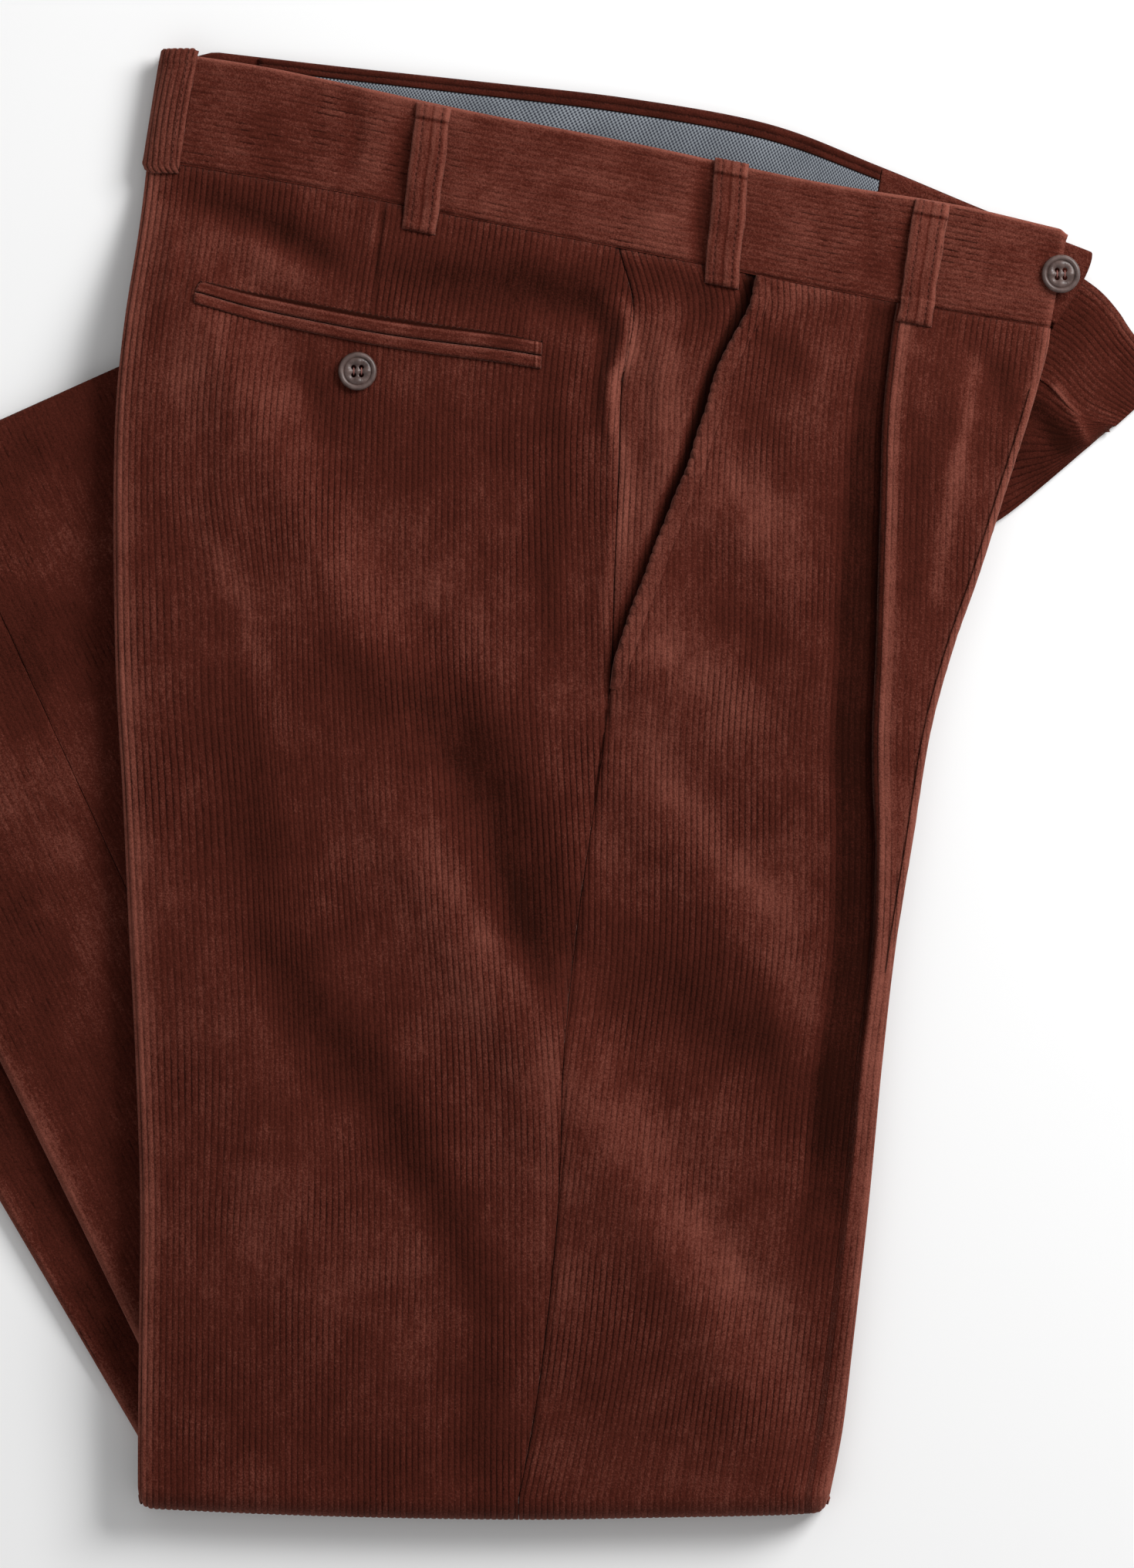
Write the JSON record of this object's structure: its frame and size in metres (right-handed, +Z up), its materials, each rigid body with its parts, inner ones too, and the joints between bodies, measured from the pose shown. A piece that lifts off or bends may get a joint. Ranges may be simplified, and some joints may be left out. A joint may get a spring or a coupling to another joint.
{
  "type": "folded corduroy trousers",
  "caption": "Pleated corduroy trousers folded in half along the centre with the legs folded back behind, lying flat.",
  "frame": {"origin": "middle of the bounding box on the surface that the garment rests on", "axes": "+X from the centre back fold to the open front, +Y from the bottom fold to the waist, +Z up from the surface"},
  "size_m": [0.626, 0.6108, 0.0273],
  "materials": {
    "corduroy": "rust-brown cotton corduroy with about ten wales to the inch, cut pile with a soft sheen",
    "lining": "blue-grey woven lining with a small dot repeat",
    "binding": "brown woven binding strip, matt",
    "button": "dark brown polished four-hole button with thread"
  },
  "bodies": {
    "root": {"right_back": "corduroy", "right_front": "corduroy", "pocket_facing_right": "corduroy", "waistband_right": "corduroy", "waistband_left": "corduroy", "waistband_binding": "binding", "waistband_lining": "lining", "waistband_facing_left": "corduroy", "belt_loop_back": "corduroy", "belt_loop_side": "corduroy", "belt_loop_front": "corduroy", "belt_loop_center_back": "corduroy", "back_pocket_welt_upper": "corduroy", "back_pocket_welt_lower": "corduroy", "waistband_button": "button", "back_pocket_button": "button", "fly_bearer_waist": "corduroy", "fly_bearer": "corduroy", "left_back_lower": "corduroy", "left_front_lower": "corduroy", "left_front_lower_under": "corduroy", "right_back_lower": "corduroy", "right_front_lower": "corduroy", "right_front_lower_under": "corduroy", "folded_layers": "corduroy"}
  },
  "joints": []
}
